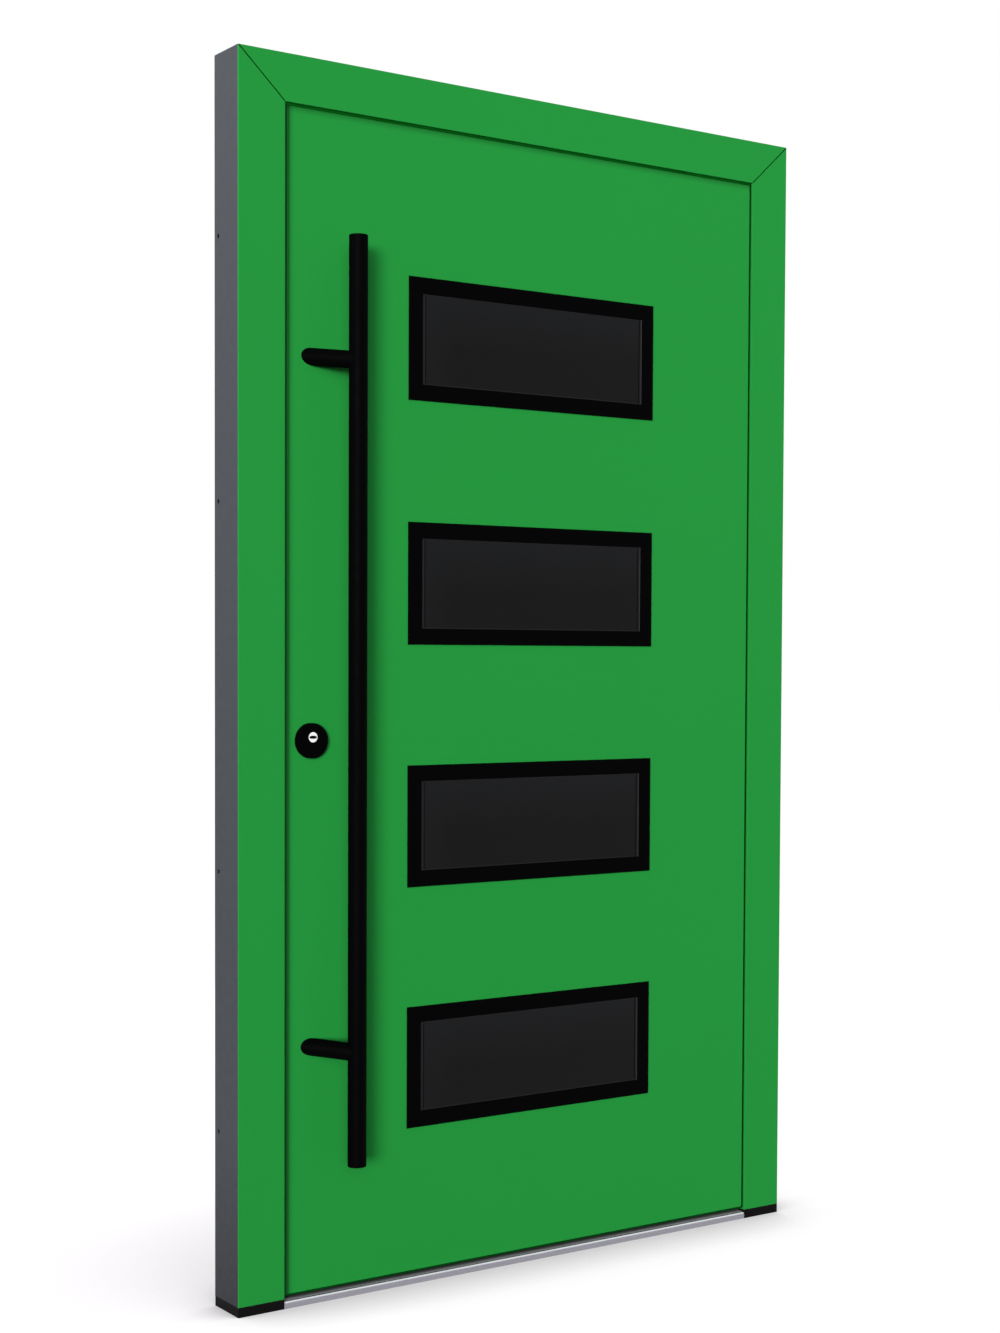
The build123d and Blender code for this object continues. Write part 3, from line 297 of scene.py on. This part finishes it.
finish_of = {
    "green_powder_coat": green_coat,
    "grey_powder_coat": grey_coat_painted_shade,
    "black_powder_coat": black_coat,
    "satin_steel": satin_steel,
    "zinc_steel": zinc_steel,
    "satin_nickel": satin_nickel,
    "bare_aluminium": bare_aluminium,
    "black_plastic": black_plastic,
    "seal_rubber": seal_rubber,
    "core_foam": foam,
    "dark_glass": dark_glass,
}


def dress(name, material):
    slots = nodes[name].data.materials
    slots.clear()
    slots.append(material)


for part in frame["record"]["subparts"]:
    dress(part["node"], finish_of[part["material_slot"]])
dress("cylinder_plug", bright_nickel)
dress("sill_outer", sill_aluminium)
dress("skin_outer", leaf_coat_painted_shade)


# Pieces are drawn in millimetres
def bridge(shell, first, second):
    """Faces between two rings with the same number of points."""
    count = len(first)
    for k in range(count):
        shell.faces.new((first[k], first[(k + 1) % count], second[(k + 1) % count], second[k]))


def placed_rings(shell, rings):
    return [[shell.verts.new(point) for point in ring] for ring in rings]


def skin_rings(shell, rings):
    """Joins rings of points one after the other, and closes both ends."""
    placed = placed_rings(shell, rings)
    for first, second in zip(placed, placed[1:]):
        bridge(shell, first, second)
    shell.faces.new(placed[0])
    shell.faces.new(placed[-1])


def loop_rings(shell, rings):
    """Joins rings of points one after the other, and the last to the first."""
    placed = placed_rings(shell, rings)
    for k, ring in enumerate(placed):
        bridge(shell, ring, placed[(k + 1) % len(placed)])


def turned_rings(centre, axis, profile, sides, outline=None):
    """Rings round an axis from (radius, along, shaped); the shaped ones follow the outline."""
    axis = Vector(axis).normalized()
    first = axis.orthogonal().normalized()
    second = axis.cross(first)
    rings = []
    for radius, along, shaped in profile:
        ring = []
        for k in range(sides):
            angle = 2 * pi * k / sides
            reach = radius * (outline(angle) if shaped else 1)
            aside = (first * cos(angle) + second * sin(angle)) * reach
            ring.append(Vector(centre) + axis * along + aside)
        rings.append(ring)
    return rings


def ring_lathe(shell, centre, axis, profile, sides=48):
    """A closed section of (radius, along) points turned round an axis."""
    loop_rings(shell, turned_rings(centre, axis, [(r, a, False) for r, a in profile], sides))


def hexagon(angle):
    return cos(pi / 6) / cos(angle % (pi / 3) - pi / 6)


def cross_slot(angle):
    return 0.36 + 0.64 * abs(cos(2 * angle)) ** 5


def screw_head(shell, centre, axis, radius, height, socket, depth, outline=hexagon):
    """A low domed head, a little sunk, with a driving socket."""
    sides, sunk = 24, 0.3
    profile = [
        (radius, -sunk, False),
        (radius, height * 0.35, False),
        (radius * 0.9, height * 0.75, False),
        (radius * 0.68, height, False),
        (socket, height, True),
        (socket, height - depth, True),
    ]
    skin_rings(shell, turned_rings(centre, axis, profile, sides, outline))


def prism(shell, outline, axis, start, end):
    """An outline drawn across the axis x, y or z and drawn out along it."""
    place = {
        "x": lambda a, b, along: (along, a, b),
        "y": lambda a, b, along: (a, along, b),
        "z": lambda a, b, along: (a, b, along),
    }[axis]
    skin_rings(shell, [[place(a, b, along) for a, b in outline] for along in (start, end)])


def window_ring(shell, half_width, half_height, middle, section):
    """A closed section of (inset, depth) points led round a window with mitred corners."""
    loop_rings(shell, [
        [(side * (half_width - inset), depth, middle + level * (half_height - inset))
         for inset, depth in section]
        for side, level in ((-1, -1), (1, -1), (1, 1), (-1, 1))
    ])


def seam(shell, start, end, layers):
    """A straight strip between two points (x, z) of a face, in layers of (depth, half width)."""
    short_of_end = 1.4
    start, end = Vector(start), Vector(end)
    along = (end - start).normalized()
    aside = Vector((-along.y, along.x))
    start, end = start + along * short_of_end, end - along * short_of_end
    rings = []
    for depth, reach in layers:
        corners = (start - aside * reach, end - aside * reach,
                   end + aside * reach, start + aside * reach)
        rings.append([(corner.x, depth, corner.y) for corner in corners])
    skin_rings(shell, rings)


def piece(name, shell, body, material):
    """Turns a shell into an object in metres that rides on a body."""
    sharp_from = 32
    bmesh.ops.recalc_face_normals(shell, faces=shell.faces)
    bmesh.ops.scale(shell, vec=(0.001, 0.001, 0.001), verts=shell.verts)
    mesh = bpy.data.meshes.new(name)
    shell.to_mesh(mesh)
    shell.free()
    mesh.shade_smooth()
    mesh.set_sharp_from_angle(angle=radians(sharp_from))
    mesh.materials.append(material)
    made = bpy.data.objects.new(name, mesh)
    bpy.context.scene.collection.objects.link(made)
    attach(made, body)
    return made


# Places on the CAD: x from the middle, y from the frame's middle to the room, z from the floor
front, back, leaf_face = -42.5, 42.5, -40
opening_half, opening_top = 513, 2020
outer_half, outer_top = 600, 2100
rebate_half, rebate_top = 533, 2040
lock_x, cylinder_z, lever_z = -463, 966, 1058
hinge_x, hinge_zs = 530.5, (250, 1050, 1850)
lowest_lite, highest_lite, lite_count = 383, 1652.9, 4
lite_zs = [lowest_lite + k * (highest_lite - lowest_lite) / (lite_count - 1)
           for k in range(lite_count)]
clear_half_width, clear_half_height = 241.5, 78.5
glass_front, glass_back = -39.7, 4.3
sides, levels = (-1, 1), (-1, 1)

# Weather lip in the gap round the leaf, its green a painted shade that is darker at the hinge
# side, as a section of (reach into the gap, depth)
lip_back, lip_front, lip_reach, lip_foot = -34.5, -38.3, 4.3, 21
lip = [
    (0, lip_back),
    (0, lip_front),
    (lip_reach * 0.6, lip_front - 0.3),
    (lip_reach * 0.9, lip_front + 0.3),
    (lip_reach, lip_front + 1.2),
    (lip_reach * 0.9, lip_front + 2.2),
    (lip_reach * 0.6, lip_back),
]
for side, end, finish in ((-1, "lock", lock_lip_painted_shade), (1, "hinge", hinge_lip_painted_shade)):
    shell = bmesh.new()
    upright = [(side * (opening_half - reach), depth) for reach, depth in lip]
    prism(shell, upright, "z", lip_foot, opening_top)
    piece(f"gap_lip_{end}", shell, "frame", finish)
shell = bmesh.new()
level_lip = [(depth, opening_top - reach) for reach, depth in lip]
prism(shell, level_lip, "x", -opening_half, opening_half)
piece("gap_lip_head", shell, "frame", head_lip_painted_shade)

# Sealant in the mitres of the frame's covers
cover_layers = ((-42.46, 1.1), (-41.88, 0.58), (-40.6, 0.58))
shell = bmesh.new()
for side in sides:
    seam(shell, (side * opening_half, opening_top), (side * outer_half, outer_top), cover_layers)
piece("mitre_sealant", shell, "frame", seam_sealant)

# Closed mitres of the frame's room side and of the room-side trims
room_layers = ((back + 0.07, 0.5), (back, 0.6), (back - 0.3, 0.6))
shell = bmesh.new()
for side in sides:
    seam(shell, (side * rebate_half, rebate_top), (side * outer_half, outer_top), room_layers)
piece("room_mitres", shell, "frame", seal_rubber)
trim_width, trim_layers = 28, ((45.56, 0.35), (45.5, 0.5), (45.3, 0.5))
shell = bmesh.new()
for z in lite_zs:
    for side in sides:
        for level in levels:
            inner, outer = (
                (side * (clear_half_width + out), z + level * (clear_half_height + out))
                for out in (0, trim_width)
            )
            seam(shell, inner, outer, trim_layers)
piece("trim_mitres", shell, "leaf", seal_rubber)

# Bright bead along the threshold's outer edge
bead_radius, bead_depth, bead_z, end_inset = 2.4, front + 2.1, 10.4, 1.5
turns = [k * pi / 12 for k in range(-2, 9)]
nose = [(bead_depth - bead_radius * cos(turn), bead_z + bead_radius * sin(turn)) for turn in turns]
nose += [(front + 5.5, 12.35), (front + 5.5, 12.05), (front + 4, 11.9), (front + 0.1, 9.5)]
shell = bmesh.new()
prism(shell, nose, "x", -opening_half + end_inset, opening_half - end_inset)
piece("threshold_nose", shell, "frame", polished_edge)

# Drip lip under the leaf's outer edge, its green a painted shade,
# as a section of (behind the leaf's face, height)
drip_half = 507
drip = [(0.6, 24.1), (0.6, 21.6), (1.1, 20.8), (2.2, 20.8), (2.8, 22), (6, 23.2), (6, 24.1)]
shell = bmesh.new()
prism(shell, [(leaf_face + behind, z) for behind, z in drip], "x", -drip_half, drip_half)
piece("drip_lip", shell, "leaf", drip_lip_painted_shade)

# Cylinder: a dark oval on the disc and the keyway's slot behind it, both in painted shade of
# the keyhole, and the ring that holds the disc
oval_front, disc_face, slot_end = -49.78, -49.5, -46.9
oval_points, oval_half_width, oval_half_height = 28, 7.3, 2.7
angles = [2 * pi * k / oval_points for k in range(oval_points)]
oval = [(oval_half_width * cos(angle), oval_half_height * sin(angle)) for angle in angles]
key_slot = [(-5.8, -1.2), (5.8, -1.2), (5.8, 1.2), (-5.8, 1.2)]
shell = bmesh.new()
for outline, start, end in ((oval, oval_front, disc_face), (key_slot, disc_face, slot_end)):
    prism(shell, [(lock_x + a, cylinder_z + b) for a, b in outline], "y", start, end)
piece("keyway", shell, "cylinder", painted_shade_black)
ring_base = -50
ring_section = [
    (8.7, 0.0), (8.7, 0.2), (9.2, 0.4), (10.6, 0.45), (11.4, 0.2), (11.6, -0.1), (11.6, -0.2),
]
shell = bmesh.new()
ring_lathe(shell, (lock_x, ring_base, cylinder_z), (0, -1, 0), ring_section)
piece("disc_ring", shell, "leaf", black_coat)

# Hinge screws with domed heads
screw_aside, screw_rise, plate_face = 34, 32, 47.5
hinge_head = {"radius": 5.5, "height": 2, "socket": 2.7, "depth": 1.4}
for side, body in ((-1, "leaf"), (1, "frame")):
    shell = bmesh.new()
    for z in hinge_zs:
        for level in levels:
            centre = (hinge_x + side * screw_aside, plate_face, z + level * screw_rise)
            screw_head(shell, centre, (0, 1, 0), **hinge_head)
    heads = piece(f"hinge_heads_{body}", shell, body, zinc_steel)
    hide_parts(f"hinge_screws_{body}")

# Cross-slotted screws of the faceplate on the leaf's edge, and of the keeps and strike plate
screw_line = 11.5
faceplate_x, faceplate_zs = -528, (225, 500, 760, 1290, 1560, 1875)
faceplate_head = {"radius": 4, "height": 0.35, "socket": 2.2, "depth": 0.9}
shell = bmesh.new()
for z in faceplate_zs:
    screw_head(shell, (faceplate_x, screw_line, z), (-1, 0, 0), **faceplate_head, outline=cross_slot)
piece("faceplate_screws", shell, "leaf", zinc_steel)
keep_x, keep_zs, keep_rise = -531.5, (400, 992, 1700), 26
keep_head = {"radius": 3.6, "height": 0.4, "socket": 2, "depth": 0.9}
strike_x, strike_face, strike_zs = -549.5, 42.3, (1047.5, 1096.5)
strike_head = {"radius": 3.4, "height": 0.4, "socket": 1.9, "depth": 0.9}
shell = bmesh.new()
for z in keep_zs:
    for level in levels:
        centre = (keep_x, screw_line, z + level * keep_rise)
        screw_head(shell, centre, (1, 0, 0), **keep_head, outline=cross_slot)
for z in strike_zs:
    screw_head(shell, (strike_x, strike_face, z), (0, 1, 0), **strike_head, outline=cross_slot)
piece("keep_screws", shell, "frame", zinc_steel)

# Room-side lever: the bush round its neck and the grub screw under it
bush_base, neck_depth, neck_radius = 51.5, 62, 9.7
bush = [(11.4, -0.2), (11.4, 0.5), (12, 0.9), (12.8, 0.9), (13.4, 0.5), (13.4, -0.2)]
shell = bmesh.new()
ring_lathe(shell, (lock_x, bush_base, lever_z), (0, 1, 0), bush)
piece("lever_bush", shell, "leaf", black_plastic)
grub = {"radius": 2.6, "height": 0.4, "socket": 1.5, "depth": 0.9}
shell = bmesh.new()
screw_head(shell, (lock_x, neck_depth, lever_z - neck_radius), (0, 0, -1), **grub)
piece("lever_grub", shell, "lever", zinc_steel)

# Glazing: a bead round each pane on both faces, a liner at both ends of the outer opening, whose
# grey is a painted highlight, and lines of painted glint and painted shadow at the pane's ends.
# Sections are (inset, depth) points.
outer_bead = [(0.35, 0), (0.35, -0.7), (1.1, -0.75), (1.9, -0.4), (2.1, 0)]
room_bead = [(0, 0), (0, 2.2), (1.2, 2.0), (2.6, 1.1), (3.2, 0)]
liner = [(-0.05, -42.8), (0.3, -42.6), (0.35, -39.9), (-0.05, -39.9)]
liner_end, line_half_height, line_proud, line_sunk = 0.1, 76, 0.12, 0.02
beads, liners, painted_glint_lines, painted_shadow_lines = (bmesh.new() for _ in range(4))
pane_lines = (
    (painted_glint_lines, -clear_half_width + 2.4, -clear_half_width + 5),
    (painted_shadow_lines, -clear_half_width + 6.2, -clear_half_width + 8.4),
    (painted_shadow_lines, clear_half_width - 4.6, clear_half_width - 2.2),
)
for z in lite_zs:
    for side in sides:
        outline = [(side * (clear_half_width - inset), depth) for inset, depth in liner]
        bottom, top = z - clear_half_height + liner_end, z + clear_half_height - liner_end
        prism(liners, outline, "z", bottom, top)
    for section, face in ((outer_bead, glass_front), (room_bead, glass_back)):
        section = [(inset, face + out) for inset, out in section]
        window_ring(beads, clear_half_width, clear_half_height, z, section)
    low, high = z - line_half_height, z + line_half_height
    for lines, left, right in pane_lines:
        outline = [(left, low), (right, low), (right, high), (left, high)]
        prism(lines, outline, "y", glass_front - line_proud, glass_front + line_sunk)
piece("glazing_beads", beads, "leaf", seal_rubber)
piece("glazing_liners", liners, "leaf", liner_painted_highlight)
piece("pane_painted_glints", painted_glint_lines, "leaf", pane_painted_glint)
piece("pane_painted_shadows", painted_shadow_lines, "leaf", painted_shade_black)

# Floor, in metres
floor_corners = [(-30, -30, 0), (30, -30, 0), (30, 40, 0), (-30, 40, 0)]
floor_mesh = bpy.data.meshes.new("floor")
floor_mesh.from_pydata(floor_corners, [], [(0, 1, 2, 3)])
floor = bpy.data.objects.new("floor", floor_mesh)
bpy.context.scene.collection.objects.link(floor)


def calculated(tree, operation, first, second):
    """A Math node of a socket and of a number or another socket."""
    node = tree.nodes.new("ShaderNodeMath")
    node.operation = operation
    tree.links.new(first, node.inputs[0])
    if isinstance(second, float):
        node.inputs[1].default_value = second
    else:
        tree.links.new(second, node.inputs[1])
    return node.outputs[0]


def seen_directly(tree):
    """1 for rays from the camera, in reflections and through glass, and 0 for the light itself."""
    path = tree.nodes.new("ShaderNodeLightPath")
    total = path.outputs["Is Camera Ray"]
    for name in ("Is Glossy Ray", "Is Transmission Ray"):
        total = calculated(tree, "MAXIMUM", total, path.outputs[name])
    return total


def door_shade(tree, distance, tilt, dark_at, clear_at, darkest):
    """1 on the open floor and less where the door is near on the side that the tilt points to."""
    direction = tree.nodes.new("ShaderNodeCombineXYZ")
    for socket, value in zip(direction.inputs, tilt):
        socket.default_value = value
    nearness = tree.nodes.new("ShaderNodeAmbientOcclusion")
    nearness.inputs["Distance"].default_value = distance
    nearness.samples = 8
    tree.links.new(direction.outputs[0], nearness.inputs["Normal"])
    softened = tree.nodes.new("ShaderNodeMapRange")
    softened.inputs["From Min"].default_value = dark_at
    softened.inputs["From Max"].default_value = clear_at
    softened.inputs["To Min"].default_value = darkest
    tree.links.new(nearness.outputs["AO"], softened.inputs[0])
    return softened.outputs[0]


# The floor glows white to the camera and in reflections, dimmed by the door's soft shades
floor_material = bpy.data.materials.new("floor_white")
floor_material.use_nodes = True
tree = floor_material.node_tree
tree.nodes.clear()
out = tree.nodes.new("ShaderNodeOutputMaterial")
diffuse = tree.nodes.new("ShaderNodeBsdfDiffuse")
diffuse.inputs[0].default_value = (0.14, 0.115, 0.14, 1)
glow = tree.nodes.new("ShaderNodeEmission")
full_glow = 0.98
level = calculated(tree, "MULTIPLY", seen_directly(tree), full_glow)
for shade in (
    {"distance": 0.2, "tilt": (0, 0, 1), "dark_at": 0.5, "clear_at": 0.88, "darkest": 0.66},
    {"distance": 0.75, "tilt": (0.25, -0.7, 0.5), "dark_at": 0.42, "clear_at": 0.95, "darkest": 0.68},
    {"distance": 0.35, "tilt": (-0.8, -0.1, 0.45), "dark_at": 0.3, "clear_at": 0.9, "darkest": 0.74},
):
    level = calculated(tree, "MULTIPLY", level, door_shade(tree, **shade))
tree.links.new(level, glow.inputs["Strength"])
both = tree.nodes.new("ShaderNodeAddShader")
tree.links.new(diffuse.outputs[0], both.inputs[0])
tree.links.new(glow.outputs[0], both.inputs[1])
tree.links.new(both.outputs[0], out.inputs[0])
floor_mesh.materials.append(floor_material)

# Surround: plain white where it is seen, and dimmer as a light
lit_strength, shown_strength = 0.17, 1.0
world = bpy.data.worlds.new("surround")
bpy.context.scene.world = world
world.use_nodes = True
tree = world.node_tree
tree.nodes.clear()
out = tree.nodes.new("ShaderNodeOutputWorld")
choose = tree.nodes.new("ShaderNodeMixShader")
tree.links.new(seen_directly(tree), choose.inputs[0])
for socket, strength in ((choose.inputs[1], lit_strength), (choose.inputs[2], shown_strength)):
    background = tree.nodes.new("ShaderNodeBackground")
    background.inputs["Color"].default_value = WHITE
    background.inputs["Strength"].default_value = strength
    tree.links.new(background.outputs[0], socket)
tree.links.new(choose.outputs[0], out.inputs[0])


def hang_lamp(name, data, towards):
    """Links a lamp whose back points along the direction given."""
    lamp = bpy.data.objects.new(name, data)
    lamp.rotation_euler = towards.to_track_quat("Z", "Y").to_euler()
    bpy.context.scene.collection.objects.link(lamp)
    return lamp


def sun(name, energy, spread, azimuth, height):
    """A soft light from far away, turned to the left of the leaf's normal by the azimuth."""
    data = bpy.data.lights.new(name, "SUN")
    data.energy = energy
    data.angle = radians(spread)
    azimuth, height = radians(azimuth), radians(height)
    level = cos(height)
    hang_lamp(name, data, Vector((-sin(azimuth) * level, -cos(azimuth) * level, sin(height))))


def disc_light(name, energy, size, place, target, mirrored=True):
    """A round soft light near the door, which shows in reflections if mirrored."""
    data = bpy.data.lights.new(name, "AREA")
    data.shape = "DISK"
    data.size = size
    data.energy = energy
    lamp = hang_lamp(name, data, Vector(place) - Vector(target))
    lamp.location = place
    lamp.visible_glossy = mirrored


# Light from the left and front, on the frame's lock side and on the room side
sun("key", energy=2.43, spread=17, azimuth=45, height=5)
sun("fill", energy=1.19, spread=40, azimuth=30, height=12)
disc_light("side_light", energy=29, size=1.0, place=(-2.4, 0.6, 2.9), target=(-0.6, 0, 1.7))
disc_light("room_side_light", energy=58, size=2.6, place=(0.9, 3.0, 1.5), target=(0, 0, 1.05),
           mirrored=False)

# Camera, as fitted to the photograph's corners
camera_place = (-2.19937, -3.1139, 1.10495)
yaw, pitch, roll = radians(34.661), radians(2.014), radians(-0.242)
forward = Vector((sin(yaw) * cos(pitch), cos(yaw) * cos(pitch), -sin(pitch)))
right = Vector((cos(yaw), -sin(yaw), 0))
down = forward.cross(right)
right_rolled = right * cos(roll) + down * sin(roll)
down_rolled = -right * sin(roll) + down * cos(roll)
camera_data = bpy.data.cameras.new("camera")
camera_data.sensor_fit = "VERTICAL"
camera_data.sensor_height = 36
camera_data.lens = 56.3331
camera_data.shift_y = 0.04674
camera_data.clip_end = 200
camera = bpy.data.objects.new("camera", camera_data)
turned = Matrix((right_rolled, -down_rolled, -forward)).transposed()
camera.matrix_world = Matrix.Translation(camera_place) @ turned.to_4x4()
bpy.context.scene.collection.objects.link(camera)
bpy.context.scene.camera = camera
bpy.context.scene.view_settings.view_transform = "Standard"
